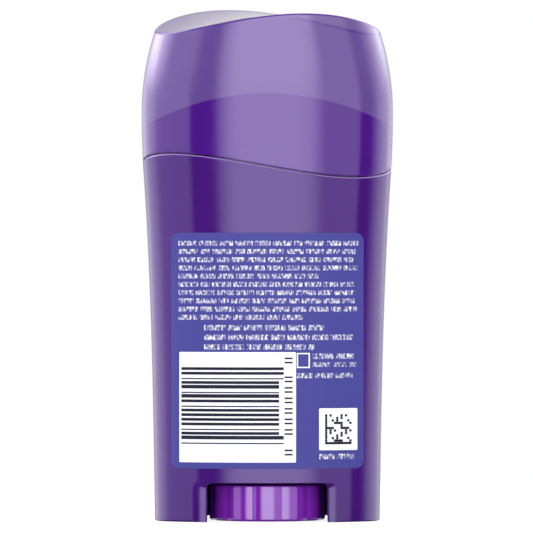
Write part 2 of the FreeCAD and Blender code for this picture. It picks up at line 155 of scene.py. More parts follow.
class LabelShape(bpy.types.PropertyGroup):
    """Sizes of the labels and of what is printed on the back one."""
    width: length("Label width", "Width of each label", 0.0458)
    low_z: length("Label foot", "Height of the label's lower edge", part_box("back_label")[0].z)
    high_z: length("Label top", "Height of the label's upper edge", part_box("back_label")[1].z)
    corner: length("Label corner", "Rounding of the label's corners", 0.0019)
    film: length("Film", "Thickness of the film", 0.00012)
    ink: length("Ink", "Thickness of a layer of ink", 0.00004)
    panel_left: length("Panel left", "Left edge of the striped panel", -0.0209)
    panel_width: length("Panel width", "Width of the striped panel", 0.0277)
    panel_low_z: length("Panel foot", "Lower edge of the striped panel", 0.0143)
    panel_height: length("Panel height", "Height of the striped panel", 0.0263)
    panel_corner: length("Panel corner", "Rounding of the corners of both panels", 0.00025)
    stripe_left: length("Stripe left", "Left end of the stripes", -0.0204)
    stripe_length: length("Stripe length", "Length of the stripes", 0.0232)
    stripe_low_z: length("Stripe foot", "Height of the lowest stripe", 0.0187)
    stripe_pitch: length("Stripe pitch", "Rise from one stripe to the next", 0.0011)
    stripe_longer: length("Stripe overhang", "How much longer the outermost stripes are", 0.0011)
    stripe_count: bpy.props.IntProperty(name="Stripes", description="Number of stripes", default=17)
    code_left: length("Code left", "Left edge of the square panel", 0.0123)
    code_width: length("Code width", "Width of the square panel", 0.0091)
    code_low_z: length("Code foot", "Lower edge of the square panel", 0.0172)
    code_height: length("Code height", "Height of the square panel", 0.0100)
    code_cells: bpy.props.IntProperty(name="Cells", description="Cells along the square's side", default=12)
    code_margin: length("Code margin", "Margin round the cells", 0.0014)


class StickFinish(bpy.types.PropertyGroup):
    """Colours of the pieces."""
    barrel: colour("Barrel", "Purple of the barrel", (0.0488, 0.0075, 0.150))
    # Painted highlight: a lighter lilac on the upper rows of the barrel's shoulder rounding, in place of the
    # light it reflects.
    edge: colour("Edge", "Lilac of the barrel's thin upper edge", (0.30, 0.20, 0.50))
    cap: colour("Cap", "Milky purple of the cap", (0.073, 0.0090, 0.245))
    cap_alpha: number("Cap opacity", "Opacity of the cap's outer skin", 0.734)
    lining_alpha: number("Lining opacity", "Opacity of the cap's inner skin", 0.08)
    wheel: colour("Wheel", "Violet of the thumb wheel", (0.200, 0.018, 0.420))
    label: colour("Label", "Blue violet of the labels", (0.0512, 0.0489, 0.263))
    white: colour("White ink", "White of the printed panels", (0.86, 0.87, 0.92))
    black: colour("Black ink", "Black of the printed marks", (0.012, 0.012, 0.030))
    bar: colour("Bar", "White of the bar", (0.56, 0.55, 0.51))
    platform: colour("Platform", "Natural white of the platform", (0.50, 0.50, 0.50))


class StickStage(bpy.types.PropertyGroup):
    """Camera, floor and lamps."""
    scale: length("Photo scale", "Real size of one pixel of the photograph at the object", 0.00024)
    centre_px: number("Centre", "Pixel column of the object's axis", 267.3)
    base_px: number("Base", "Pixel row of the floor", 520.5)
    distance: length("Distance", "Distance from camera to axis", 1.73)
    floor_half: length("Floor", "Half of the floor's side", 0.30)
    lamp_distance: length("Lamp distance", "Distance of the soft panels", 1.5)
    wall_low: length("Wall foot", "Height of the soft wall's lower edge", -0.67)
    wall_high: length("Wall top", "Height of the soft wall's upper edge", 2.20)
    fill: number("Fill", "Strength of the plain light from all round", 0.42)


def show(name, data):
    """A new object in the scene."""
    made = bpy.data.objects.new(name, data)
    bpy.context.scene.collection.objects.link(made)
    return made


def add_object(name, points, faces, material, others=(), which=None):
    """A mesh object from points and faces, welded where points meet, with its faces turned outwards. Where it
    has other materials, which gives each face's material as a number."""
    mesh = bpy.data.meshes.new(name)
    mesh.from_pydata(points.reshape(-1, 3).tolist(), [], faces.tolist())
    if which is not None:
        mesh.polygons.foreach_set("material_index", which)
    work = bmesh.new()
    work.from_mesh(mesh)
    bmesh.ops.remove_doubles(work, verts=work.verts, dist=1e-7)
    bmesh.ops.recalc_face_normals(work, faces=work.faces)
    work.to_mesh(mesh)
    work.free()
    for each in (material, *others):
        mesh.materials.append(each)
    mesh.shade_smooth()
    mesh.set_sharp_from_angle(angle=math.radians(32))
    return show(name, mesh)


def ring_faces(rings, count):
    """Faces between neighbouring rings of equally many points, closed round each ring."""
    row = np.arange(rings - 1)[:, None] * count
    here = np.arange(count)[None, :]
    after = (here + 1) % count
    order = [row + here, row + after, row + count + after, row + count + here]
    return np.stack(order, axis=-1).reshape(-1, 4)


def sheet_faces(rows, columns, start=0, turned=False):
    """Faces of an open grid of rows by columns."""
    row = np.arange(rows - 1)[:, None] * columns + start
    here = np.arange(columns - 1)[None, :]
    order = [row + here, row + here + 1, row + columns + here + 1, row + columns + here]
    if turned:
        order.reverse()
    return np.stack(order, axis=-1).reshape(-1, 4)


def angles(count=AROUND):
    """Angles round the oval."""
    return np.arange(count) * 2 * math.pi / count


def oval_ring(a, b, z, theta):
    """Points of an oval: x is a cos, y is b sin, z is given for each angle."""
    z = np.broadcast_to(z, theta.shape)
    return np.stack([a * np.cos(theta), b * np.sin(theta), z], axis=-1)


def barrel_half_width(shape, z):
    """Foot half width plus the flare, which grows 42 % evenly and 58 % with the cube of the height."""
    share = z / shape.seam_z
    return shape.foot_half_width + (shape.seam_half_width - shape.foot_half_width) * (
        0.42 * share + 0.58 * share ** 3)


def cap_half_width(shape, z):
    """Greatest half width less a parabola, which is flatter below the widest height than above it."""
    curve = np.where(z > shape.cap_widest_z, shape.cap_upper_curve, shape.cap_lower_curve)
    return shape.cap_half_width - (z - shape.cap_widest_z) ** 2 / curve


def seam_height(shape, x, y):
    """A plane tilted across, plus a saddle along the axes, plus a saddle along the diagonals."""
    u = x / shape.seam_half_width
    v = y / (shape.seam_half_width * shape.depth_share)
    wave = shape.seam_tilt * u + shape.seam_saddle * (u * u - v * v) + 2 * shape.seam_wave * u * v
    return shape.seam_z + wave


def top_height(shape, x, y):
    """The cap's top: tilt, two saddles, a lift to the back and a crown that dies out at the rim."""
    a = cap_half_width(shape, np.float64(shape.cap_top_z))
    u = x / a
    v = y / (a * shape.depth_share)
    wave = shape.top_tilt * u + shape.top_saddle * (u * u - v * v) + 2 * shape.top_wave * u * v
    return shape.cap_top_z + wave + shape.top_back_lift * v + shape.top_crown * (1 - u * u - v * v)


def ring_on_wall(half_width, shape, z, theta, inset=0.0):
    """A ring at heights z on the barrel's or the cap's wall, whose half width depends on height."""
    a = half_width(shape, z)
    return oval_ring(a - inset, a * shape.depth_share - inset, z, theta)


def quarter(count):
    """Angles of a quarter turn."""
    return np.linspace(0, math.pi / 2, count)


def conic(start, tip, end, weight, steps):
    """Rings along a conic arc from start to end. The weight draws the arc towards the tip."""
    arc = []
    for t in np.linspace(0, 1, steps):
        p, q, r = (1 - t) ** 2, 2 * weight * t * (1 - t), t ** 2
        arc.append((p * start + q * tip + r * end) / (p + q + r))
    return arc


def inward_rings(x, y, height, steps):
    """Rings from an outline to the middle of a surface whose height is given for each place."""
    return [np.stack([x * k, y * k, height(x * k, y * k)], axis=-1) for k in np.linspace(1, 0, steps)[1:]]


def bore_axes(shape, z):
    """Half width and half depth of the bore, which flares evenly from floor plate to neck."""
    low = shape.floor_z + shape.floor_thickness
    part = (z - low) / (shape.neck_top_z - low)
    return (shape.bore_half_width + shape.bore_flare * part,
            shape.bore_half_depth + shape.bore_flare_depth * part)


def barrel_rings(shape, theta):
    """Rings from the middle of the underside, up the outside, over shoulder and neck, and down the bore, and
    the number of rings below the shoulder's rounding."""
    share = shape.depth_share
    ones = np.ones_like(theta)
    rings = [oval_ring(0, 0, 0 * ones, theta)]
    r = shape.foot_rounding
    for t in quarter(6):
        z = (r - r * math.cos(t)) * ones
        rings.append(ring_on_wall(barrel_half_width, shape, z, theta, r - r * math.sin(t)))
    r = shape.shoulder_rounding
    x = shape.seam_half_width * np.cos(theta)
    y = shape.seam_half_width * share * np.sin(theta)
    edge = seam_height(shape, x, y) - shape.seam_gap
    for t in np.linspace(0, 1, 90)[1:]:
        z = shape.foot_rounding + t * (edge - r - shape.foot_rounding)
        rings.append(ring_on_wall(barrel_half_width, shape, z, theta))
    shoulder = len(rings)
    for t in quarter(7)[1:]:
        z = edge - r + r * math.sin(t)
        rings.append(ring_on_wall(barrel_half_width, shape, z, theta, r - r * math.cos(t)))
    neck_a = shape.cap_half_width - shape.cap_wall - shape.neck_gap
    neck_b = shape.cap_half_width * share - shape.cap_wall - shape.neck_gap
    rim = shape.neck_top_z - shape.neck_arch_drop * np.cos(theta) ** 2
    r = shape.neck_rounding
    for t in np.linspace(0, 1, 12):
        rings.append(oval_ring(neck_a, neck_b, edge + t * (rim - r - edge), theta))
    for t in quarter(6)[1:]:
        rings.append(oval_ring(neck_a - r + r * math.cos(t), neck_b - r + r * math.cos(t),
                               rim - r + r * math.sin(t), theta))

    def bore(z, grow=0.0):
        a, b = bore_axes(shape, z)
        return oval_ring(a + grow, b + grow, z, theta)
    for t in quarter(6):
        rings.append(bore(rim - r + r * math.cos(t), r - r * math.sin(t)))
    bore_low = shape.floor_z + shape.floor_thickness
    for t in np.linspace(0, 1, 16)[1:]:
        rings.append(bore(rim - r + t * (bore_low - rim + r)))
    rings.append(oval_ring(0, 0, bore_low * ones, theta))
    return np.array(rings), shoulder


def arch_cutter(shape):
    """The arch's opening as rings along Y. Its profile is a round-cornered gate. Near the oval's surface each
    upright edge swells along a quarter of an ellipse, which fades to a small rounding under the top edge."""
    w, top, c = shape.arch_half_width, shape.floor_z, shape.arch_corner
    low = -2 * MM
    n = 24
    beyond, poles = 6 * MM, 22 * MM
    side_z = np.linspace(low, top - c, n)
    turn = quarter(7)[1:]
    flat = np.linspace(c - w, w - c, 15)[1:]
    left = [np.stack([np.full(n, -w), side_z, np.full(n, -1.0), np.zeros(n)], axis=-1),
            np.stack([c - w - c * np.cos(turn), top - c + c * np.sin(turn), -np.cos(turn), np.sin(turn)],
                     axis=-1),
            np.stack([flat, np.full(14, top), np.zeros(14), np.ones(14)], axis=-1)]
    right = np.concatenate(left[:2])[::-1][1:] * np.array([-1, 1, -1, 1])
    profile = np.concatenate(left + [right])
    x, z, nx, nz = profile.T
    fade_start, fade_length = 0.1 * MM, 1.0 * MM
    fade = np.clip((top - fade_start - z) / fade_length, 0, 1)
    fade = fade * fade * (3 - 2 * fade)
    least = 0.2 * MM
    flare = least + (shape.arch_flare - least) * fade
    depth = least + (shape.flare_depth - least) * fade

    def ring(grow, inward):
        px = x + nx * grow
        pz = z + nz * grow
        a = barrel_half_width(shape, np.maximum(pz, 0))
        surface = a * shape.depth_share * np.sqrt(1 - (px / a) ** 2)
        return px, surface - inward, pz
    out = 0.8 * MM
    stations = [(flare + out, -out + 0 * flare)]
    stations += [(flare * (1 - math.sin(t)), depth * (1 - math.cos(t))) for t in quarter(16)]
    half = [np.stack(ring(grow, inward), axis=-1) for grow, inward in stations]
    front = [h * np.array([1, -1, 1]) for h in half]
    far = half[0] + np.array([0, beyond, 0])
    near = front[0] - np.array([0, beyond, 0])
    pole_near = np.broadcast_to(np.array([0, -poles, 3 * MM]), far.shape)
    pole_far = np.broadcast_to(np.array([0, poles, 3 * MM]), far.shape)
    rings = np.array([pole_near, near] + front + half[::-1] + [far, pole_far])
    return rings.reshape(-1, 3), ring_faces(len(rings), len(x))


def foot_cutter(shape, side):
    """The hollow of one foot as rings along Z: the part of a smaller oval beyond a straight curtain."""
    curtain = shape.arch_half_width + shape.foot_wall
    foot = shape.foot_half_width
    share = (foot * shape.depth_share - shape.foot_wall) / (foot - shape.foot_wall)
    rings = []
    for z in (-1 * MM, 4 * MM, shape.floor_z - 0.8 * MM, shape.floor_z - 0.2 * MM, shape.floor_z):
        inset = shape.foot_wall + (0.5 * MM if z > shape.floor_z - 0.1 * MM else 0.0)
        a = barrel_half_width(shape, max(z, 0)) - inset
        b = a * share
        reach = math.acos(curtain / a)
        t = np.linspace(-reach, reach, 41)
        arc = np.stack([side * a * np.cos(t), b * np.sin(t), np.full(41, z)], axis=-1)
        y = np.linspace(b * math.sin(reach), -b * math.sin(reach), 12)[1:-1]
        chord = np.stack([np.full(10, side * curtain), y, np.full(10, z)], axis=-1)
        rings.append(np.concatenate([arc, chord]))
    low = np.broadcast_to(rings[0].mean(axis=0), rings[0].shape)
    high = np.broadcast_to(rings[-1].mean(axis=0), rings[0].shape)
    rings = np.array([low] + rings + [high])
    return rings.reshape(-1, 3), ring_faces(len(rings), rings.shape[1])


def rib_rings(shape, wheel, side):
    """A rib from a foot's inner wall round the far side of the wheel, as rings along Z: one side of it is an
    arc round the wheel."""
    near = wheel.radius + shape.rib_gap
    far = shape.arch_half_width + shape.foot_wall / 2
    y = np.linspace(0, shape.rib_depth, 15)
    arc = np.stack([np.sqrt(near ** 2 - y ** 2), y], axis=-1)
    outline = np.concatenate([arc, [[far, shape.rib_depth], [far, 0]]]) * np.array([side, 1])
    middle = np.broadcast_to([side * (near + far) / 2, shape.rib_depth / 2], outline.shape)
    high = shape.floor_z + shape.floor_thickness / 2
    levels = ((middle, shape.rib_low_z), (outline, shape.rib_low_z), (outline, high), (middle, high))
    rings = np.array([np.column_stack([flat, np.full(len(flat), z)]) for flat, z in levels])
    return rings, ring_faces(4, len(outline))


def rod(radius, low, high, count=64):
    """A closed cylinder as rings along Z."""
    theta = angles(count)
    rings = np.array([oval_ring(0, 0, low, theta), oval_ring(radius, radius, low, theta),
                      oval_ring(radius, radius, high, theta), oval_ring(0, 0, high, theta)])
    return rings.reshape(-1, 3), ring_faces(4, count)


def cut(piece, cutters):
    """Takes closed forms out of a piece, one after another, and keeps the result as its mesh."""
    for i, (points, faces) in enumerate(cutters):
        tool = add_object(f"cutter_{i}", points, faces, piece.data.materials[0])
        modifier = piece.modifiers.new("cut", "BOOLEAN")
        modifier.operation = "DIFFERENCE"
        modifier.solver = "EXACT"
        modifier.object = tool
        bpy.context.view_layer.update()
        shown = piece.evaluated_get(bpy.context.evaluated_depsgraph_get())
        mesh = bpy.data.meshes.new_from_object(shown)
        piece.modifiers.clear()
        old = piece.data
        piece.data = mesh
        mesh.name = piece.name
        bpy.data.meshes.remove(old)
        spare = tool.data
        bpy.data.objects.remove(tool)
        bpy.data.meshes.remove(spare)
    piece.data.shade_smooth()
    piece.data.set_sharp_from_angle(angle=math.radians(30))


def keep_flat(piece):
    """Lets large faces rule the shading beside small roundings."""
    modifier = piece.modifiers.new("even shading", "WEIGHTED_NORMAL")
    modifier.keep_sharp = True
    modifier.weight = 60


def cap_rings(shape, theta):
    """Rings from the middle of the inner roof, down the inside, round the mouth, up the outside, over the rim
    and to the middle of the top, the number of rings inside and the number below the rim. The rim is a conic
    arc between the wall and the top surface."""
    share = shape.depth_share
    wall = shape.cap_wall
    c, s = np.cos(theta), np.sin(theta)

    def inner_axes(z):
        straight_a = shape.cap_half_width - wall
        straight_b = shape.cap_half_width * share - wall
        a = np.where(z > shape.cap_widest_z, cap_half_width(shape, z) - wall, straight_a)
        return a, a * straight_b / straight_a

    def outer_axes(z):
        a = cap_half_width(shape, z)
        return a, a * share

    def corner(axes, drop):
        z = np.full_like(theta, shape.cap_top_z)
        for _ in range(12):
            a, b = axes(z)
            z = top_height(shape, a * c, b * s) - drop
        return z

    def roof_and_wall(axes, drop, rounding, steps):
        """The rim's arc from wall to roof, the rings of the roof, and the height at which the wall ends."""
        z = corner(axes, drop)
        a, b = axes(z)
        tip = np.stack([a * c, b * s, z], axis=-1)
        a_low, b_low = axes(z - rounding)
        start = np.stack([a_low * c, b_low * s, z - rounding], axis=-1)
        inward = 1 - rounding / np.hypot(a * c, b * s)
        x, y = a * c * inward, b * s * inward
        end = np.stack([x, y, top_height(shape, x, y) - drop], axis=-1)
        roof = inward_rings(x, y, lambda x, y: top_height(shape, x, y) - drop, 26)
        return conic(start, tip, end, 0.72, steps), roof, z - rounding
    x, y = shape.seam_half_width * c, shape.seam_half_width * share * s
    mouth = seam_height(shape, x, y)
    inner_arc, inner_roof, inner_top = roof_and_wall(inner_axes, wall, shape.roof_rounding, 7)
    outer_arc, outer_roof, outer_top = roof_and_wall(outer_axes, 0.0, shape.top_rounding, 11)
    rings = inner_roof[::-1] + inner_arc[::-1]
    lip = shape.lip_rounding
    for t in np.linspace(0, 1, 24)[1:]:
        z = inner_top + t * (mouth + lip - inner_top)
        a, b = inner_axes(z)
        rings.append(oval_ring(a, b, z, theta))
    inside = len(rings)
    a_in, b_in = inner_axes(mouth)
    for t in quarter(5)[1:]:
        grow = lip * (1 - math.cos(t))
        rings.append(oval_ring(a_in + grow, b_in + grow, mouth + lip - lip * math.sin(t), theta))
    for t in quarter(5):
        z = mouth + lip - lip * math.cos(t)
        rings.append(ring_on_wall(cap_half_width, shape, z, theta, lip - lip * math.sin(t)))
    for t in np.linspace(0, 1, 70)[1:-1]:
        z = mouth + lip + t * (outer_top - mouth - lip)
        rings.append(ring_on_wall(cap_half_width, shape, z, theta))
    rim = len(rings)
    rings += outer_arc + outer_roof
    return np.array(rings), inside, rim


def lobe_radius(wheel, theta):
    """Distance of the lobed outline from the axis: each lobe is an arc of a smaller circle, whose centre lies
    off the axis towards the middle of the lobe. A lobe faces -Y."""
    small = wheel.radius / wheel.lobe_roundness
    offset = wheel.radius - small
    step = 2 * math.pi / wheel.lobes
    t = (theta + math.pi / 2 + step / 2) % step - step / 2
    return offset * np.cos(t) + np.sqrt(small ** 2 - (offset * np.sin(t)) ** 2)


def wheel_rings(wheel, theta):
    """Rings from the middle of the underside, over the hollow, round the lobed rim, and up journal, collar
    and screw core to the tip."""
    ones = np.ones_like(theta)

    def plain(radius, z):
        return oval_ring(radius, radius, z * ones, theta)

    def lobed(inset, z):
        crest = np.minimum(lobe_radius(wheel, theta), wheel.radius) - inset
        return np.stack([crest * np.cos(theta), crest * np.sin(theta), z * ones], axis=-1)
    low, top, e = wheel.low_z, wheel.top_z, wheel.edge
    well = wheel.radius - wheel.wall
    roof = top - wheel.disc
    hub = wheel.journal_radius
    chamfer, tip_chamfer = 0.3 * MM, 0.8 * MM
    collar_land, collar_slope = 0.2 * MM, 0.4 * MM
    rings = [plain(0, low), plain(hub - chamfer, low), plain(hub, low + chamfer)]
    rings += [plain(hub, low + t * (roof - low)) for t in np.linspace(0.2, 1, 6)]
    rings += [plain(well, roof)]
    rings += [plain(well, roof + t * (low + chamfer - roof)) for t in np.linspace(0, 1, 6)[1:]]
    rings += [plain(well + chamfer, low)]
    for t in quarter(7):
        rings.append(lobed(e - e * math.sin(t), low + e - e * math.cos(t)))
    rings += [lobed(0, low + e + t * (top - low - 2 * e)) for t in np.linspace(0, 1, 12)[1:]]
    for t in quarter(7)[1:]:
        rings.append(lobed(e - e * math.cos(t), top - e + e * math.sin(t)))
    collar = wheel.collar_z
    collar_top = collar + wheel.collar_height
    tip = wheel.screw_top_z
    rings += [plain(hub, top), plain(hub, collar), plain(wheel.collar_radius, collar),
              plain(wheel.collar_radius, collar + collar_land), plain(hub - collar_slope, collar_top),
              plain(wheel.core_radius, collar_top), plain(wheel.core_radius, tip - tip_chamfer),
              plain(wheel.core_radius - tip_chamfer, tip), plain(0, tip)]
    return np.array(rings)


def thread_rings(wheel):
    """The thread as a profile carried along a right-hand helix: the section is a trapezium that stands on the
    core and runs out to nothing at both ends."""
    above_collar, below_tip, run_out = 1.2 * MM, 1.6 * MM, 1.2
    low = wheel.collar_z + wheel.collar_height + above_collar
    high = wheel.screw_top_z - below_tip
    turns = (high - low) / wheel.thread_pitch
    count = int(turns * 40)
    t = np.linspace(0, turns * 2 * math.pi, count)
    rise = low + t / (2 * math.pi) * wheel.thread_pitch
    ends = np.clip(np.minimum(t, t[-1] - t) / run_out, 0.02, 1)
    out = np.array([-0.3, 1.0, 1.0, -0.3])
    along = np.array([-0.9, -0.45, 0.45, 0.9]) * MM
    radius = wheel.core_radius + wheel.thread_depth * out[None, :] * ends[:, None]
    z = rise[:, None] + along[None, :] * ends[:, None]
    rings = np.stack([radius * np.cos(t)[:, None], radius * np.sin(t)[:, None], z], axis=-1)
    first = np.broadcast_to(rings[0].mean(axis=0), rings[0].shape)
    last = np.broadcast_to(rings[-1].mean(axis=0), rings[0].shape)
    rings = np.concatenate([[first], rings, [last]])
    return rings.reshape(-1, 3), ring_faces(len(rings), 4)


def bar_rings(shape, wheel, theta):
    """Rings from the blind end of the hole, down the hole, out across the underside, up the flared side, over
    a rounded edge and to the middle of the head, which is an arch across and a lower arch in depth."""
    ones = np.ones_like(theta)
    c, s = np.cos(theta), np.sin(theta)

    def side(z, inset=0.0):
        a, b = bore_axes(shape, z)
        return a - wheel.bar_gap - inset, b - wheel.bar_gap - inset

    def head(x, y):
        return (wheel.bar_top_z - wheel.bar_arch_drop * (x / shape.bore_half_width) ** 2
                - wheel.bar_depth_drop * (y / shape.bore_half_depth) ** 2)
    hole = wheel.bar_hole
    blind = wheel.screw_top_z + 1.0 * MM
    low = wheel.bar_low_z
    rings = [oval_ring(0, 0, blind * ones, theta), oval_ring(hole, hole, blind * ones, theta),
             oval_ring(hole, hole, low * ones, theta)]
    r = wheel.bar_edge
    chamfer = 0.3 * MM
    a, b = side(low, chamfer)
    rings.append(oval_ring(a, b, low * ones, theta))
    edge = np.full_like(theta, wheel.bar_top_z)
    for _ in range(10):
        a, b = side(edge)
        edge = head(a * c, b * s)
    for t in np.linspace(0, 1, 40):
        z = low + chamfer + t * (edge - r - low - chamfer)
        a, b = side(z)
        rings.append(oval_ring(a, b, z, theta))
    a, b = side(edge)
    tip = np.stack([a * c, b * s, edge], axis=-1)
    inward = 1 - r / np.hypot(a * c, b * s)
    x, y = a * c * inward, b * s * inward
    end = np.stack([x, y, head(x, y)], axis=-1)
    rings += conic(rings[-1], tip, end, 0.71, 9)[1:]
    return np.array(rings + inward_rings(x, y, head, 20))


def on_barrel(shape, x, z, lift, side):
    """A point above or below a place on the barrel: y from the oval, then out along the oval's normal."""
    a = barrel_half_width(shape, z)
    b = a * shape.depth_share
    y = side * b * np.sqrt(1 - (x / a) ** 2)
    nx, ny = x / a ** 2, y / b ** 2
    size = np.hypot(nx, ny)
    return np.stack([x + nx / size * lift, y + ny / size * lift, z], axis=-1)


def film(shape, patches, low, high, side):
    """Thin slabs that follow the barrel. Each patch is (left, right, foot, top, corner). A slab is two grids,
    the outer and the inner, joined round their border. Rows near a round corner are shorter."""
    points, faces, start = [], [], 0
    for left, right, foot, top, corner in patches:
        columns = max(2, int((right - left) / (0.6 * MM)) + 1)
        rows = max(2, int((top - foot) / (4 * MM)) + 1)
        z = np.linspace(foot + corner, top - corner, rows)
        if corner > 0:
            turn = quarter(7)
            z = np.concatenate([foot + corner - corner * np.cos(turn[:-1]), z,
                                top - corner + corner * np.sin(turn[1:])])
        beyond = np.maximum(np.maximum(foot + corner - z, z - top + corner), 0)
        short = corner - np.sqrt(np.maximum(corner ** 2 - beyond ** 2, 0))
        middle, half = (left + right) / 2, (right - left) / 2
        x = middle + (half - short)[:, None] * np.linspace(-1, 1, columns)[None, :]
        zz = np.broadcast_to(z[:, None], x.shape)
        outer = on_barrel(shape, x, zz, high, side)
        inner = on_barrel(shape, x, zz, low, side)
        rows = len(z)
        size = rows * columns
        points += [outer.reshape(-1, 3), inner.reshape(-1, 3)]
        faces += [sheet_faces(rows, columns, start), sheet_faces(rows, columns, start + size, True)]
        grid = np.arange(size).reshape(rows, columns) + start
        border = np.concatenate([grid[0, :-1], grid[:-1, -1], grid[-1, :0:-1], grid[:0:-1, 0]])
        after = np.roll(border, -1)
        faces.append(np.stack([border, border + size, after + size, after], axis=-1))
        start += 2 * size
    return np.concatenate(points), np.concatenate(faces)


def word_bars():
    """Plain bars in rows where small print would be: bar lengths follow a fixed rhythm of sines."""
    patches = []
    usual_height, least_length, space, corner = 1.15 * MM, 0.6 * MM, 0.55 * MM, 0.15 * MM

    def line(middle_z, height, left, right, seed):
        x = left
        i = 0
        while x < right - 1.0 * MM:
            rhythm = 2.0 * abs(math.sin(1.7 * i + 2.3 * seed)) + 1.4 * abs(math.sin(0.9 * i * seed + 1))
            word = (1.6 + rhythm) * MM
            end = min(x + word * height / usual_height, right)
            if end - x > least_length:
                patches.append((x, end, middle_z - height / 2, middle_z + height / 2, corner))
            x = end + space
            i += 1
    left, right, top, pitch, height = -0.0211, 0.0216, 0.0665, 0.00196, 0.00115
    missing_ends = (0.0, 0.6, 0.5, 0.2, 9.5, 1.0, 0.4, 0.8, 0.3, 12.0)
    for k, missing in enumerate(missing_ends):
        line(top - pitch * k, height, left, right - missing * MM, k + 1)
    bold_left, bold_top, bold_pitch, bold_height = -0.0150, 0.0464, 0.0023, 0.00128
    for k, bold_right in enumerate((0.0150, 0.0216, 0.0112)):
        line(bold_top - bold_pitch * k, bold_height, bold_left, bold_right, k + 20)
    beside_panel = ((0.0396, 0.0013, 0.0107, 0.0213), (0.0376, 0.0011, 0.0107, 0.0213),
                    (0.0350, 0.0012, 0.0069, 0.0213), (0.0157, 0.00125, 0.0123, 0.0211))
    for k, (middle_z, row_height, row_left, row_right) in enumerate(beside_panel):
        line(middle_z, row_height, row_left, row_right, k + 31)
    return patches


def frame_patches():
    """The outline of a small square beside the striped panel: four strokes."""
    left, right, low, high, stroke = 0.0070, 0.0101, 0.0368, 0.0404, 0.0003
    return [(left, right, low, low + stroke, 0.0), (left, right, high - stroke, high, 0.0),
            (left, left + stroke, low + stroke, high - stroke, 0.0),
            (right - stroke, right, low + stroke, high - stroke, 0.0)]


def mark_patches():
    """Plain marks beside the stripes: pairs of level strokes."""
    left, right, apart, stroke = 0.0041, 0.0060, 0.0010, 0.0004
    patches = []
    for low in (0.0160, 0.0209, 0.0234, 0.0259, 0.0284, 0.0309, 0.0334, 0.0379):
        patches += [(left, right, z, z + stroke, 0.0) for z in (low, low + apart)]
    return patches


def stripe_patches(label):
    """Level stripes of four thicknesses, in a rhythm worked out from the stripe's number."""
    patches = []
    thinnest, step = 0.27, 0.17
    for i in range(label.stripe_count):
        thickness = label.stripe_pitch * (thinnest + step * (7 * i * i % 11 % 4))
        low = label.stripe_low_z + label.stripe_pitch * i
        right = label.stripe_left + label.stripe_length
        if i < 2 or i > label.stripe_count - 4:
            right += label.stripe_longer
        patches.append((label.stripe_left, right, low, low + thickness, 0.0))
    return patches


def cell_patches(label):
    """Dark runs of cells in rows: the left and lower borders, and cells that a sum of squares picks."""
    patches = []
    inked_share = 0.94
    cell = (label.code_width - 2 * label.code_margin) / label.code_cells
    cell_height = (label.code_height - 2 * label.code_margin) / label.code_cells
    for row in range(label.code_cells):
        z = label.code_low_z + label.code_margin + row * cell_height
        dark = [row == 0 or column == 0 or (row * row + 3 * column * column + 2 * row * column) % 7 < 3
                for column in range(label.code_cells)] + [False]
        start = None
        for column, is_dark in enumerate(dark):
            if is_dark and start is None:
                start = column
            if not is_dark and start is not None:
                left = label.code_left + label.code_margin + start * cell
                right = label.code_left + label.code_margin + column * cell
                patches.append((left, right, z, z + cell_height * inked_share, 0.0))
                start = None
    return patches


def feed(tree, target, inputs):
    """Fills a node's inputs: a socket is linked to the input, and a value becomes its setting."""
    for name, value in inputs.items():
        if isinstance(value, bpy.types.NodeSocket):
            tree.links.new(value, target.inputs[name])
        else:
            target.inputs[name].default_value = value


def node(tree, kind, inputs, **settings):
    """A new node of a shader tree, with its settings and then its inputs."""
    made = tree.nodes.new("ShaderNode" + kind)
    for name, value in settings.items():
        setattr(made, name, value)
    feed(tree, made, inputs)
    return made


def new_material(name):
    """A material with its own nodes, and those nodes."""
    material = bpy.data.materials.new(name)
    material.use_nodes = True
    return material, material.node_tree


def skin_group():
    """Shader group: fine unevenness of a moulded or printed skin, as a height and a varying roughness."""
    name = "Moulded skin"
    if name in bpy.data.node_groups:
        return bpy.data.node_groups[name]
    group = bpy.data.node_groups.new(name, "ShaderNodeTree")
    face = group.interface
    face.new_socket("Vector", in_out="INPUT", socket_type="NodeSocketVector")
    for title in ("Scale", "Roughness", "Variation"):
        face.new_socket(title, in_out="INPUT", socket_type="NodeSocketFloat")
    for title in ("Height", "Roughness"):
        face.new_socket(title, in_out="OUTPUT", socket_type="NodeSocketFloat")
    given = group.nodes.new("NodeGroupInput").outputs
    grain = node(group, "TexNoise", {"Vector": given["Vector"], "Scale": given["Scale"], "Detail": 3.0})
    centred = node(group, "Math", {0: grain.outputs["Fac"], 1: 0.5}, operation="SUBTRACT")
    varied = node(group, "Math", {0: centred.outputs[0], 1: given["Variation"], 2: given["Roughness"]},
                  operation="MULTIPLY_ADD")
    feed(group, group.nodes.new("NodeGroupOutput"),
         {"Height": grain.outputs["Fac"], "Roughness": varied.outputs[0]})
    return group


def base_material(name, tone, roughness, variation, grain_scale, bump, **more):
    """A Principled material whose colour drifts a little and whose skin comes from the shared group. More
    inputs of the shader are named with underscores for spaces."""
    material, tree = new_material(name)
    shader = tree.nodes["Principled BSDF"]
    place = node(tree, "TexCoord", {}).outputs["Object"]
    skin = node(tree, "Group", {"Vector": place, "Scale": grain_scale, "Roughness": roughness,
                                "Variation": variation}, node_tree=skin_group())
    drift = node(tree, "TexNoise", {"Vector": place, "Scale": 60.0, "Detail": 2.0})
    mix = node(tree, "Mix", {"Factor": drift.outputs["Fac"], "A": (*[c * 0.97 for c in tone], 1),
                             "B": (*[min(1, c * 1.03) for c in tone], 1)}, data_type="RGBA")
    feed(tree, shader, {"Base Color": mix.outputs["Result"], "Roughness": skin.outputs["Roughness"]})
    if bump > 0:
        relief = node(tree, "Bump", {"Strength": bump, "Distance": 0.02 * MM,
                                     "Height": skin.outputs["Height"]})
        feed(tree, shader, {"Normal": relief.outputs["Normal"]})
    feed(tree, shader, {title.replace("_", " "): value for title, value in more.items()})
    return material


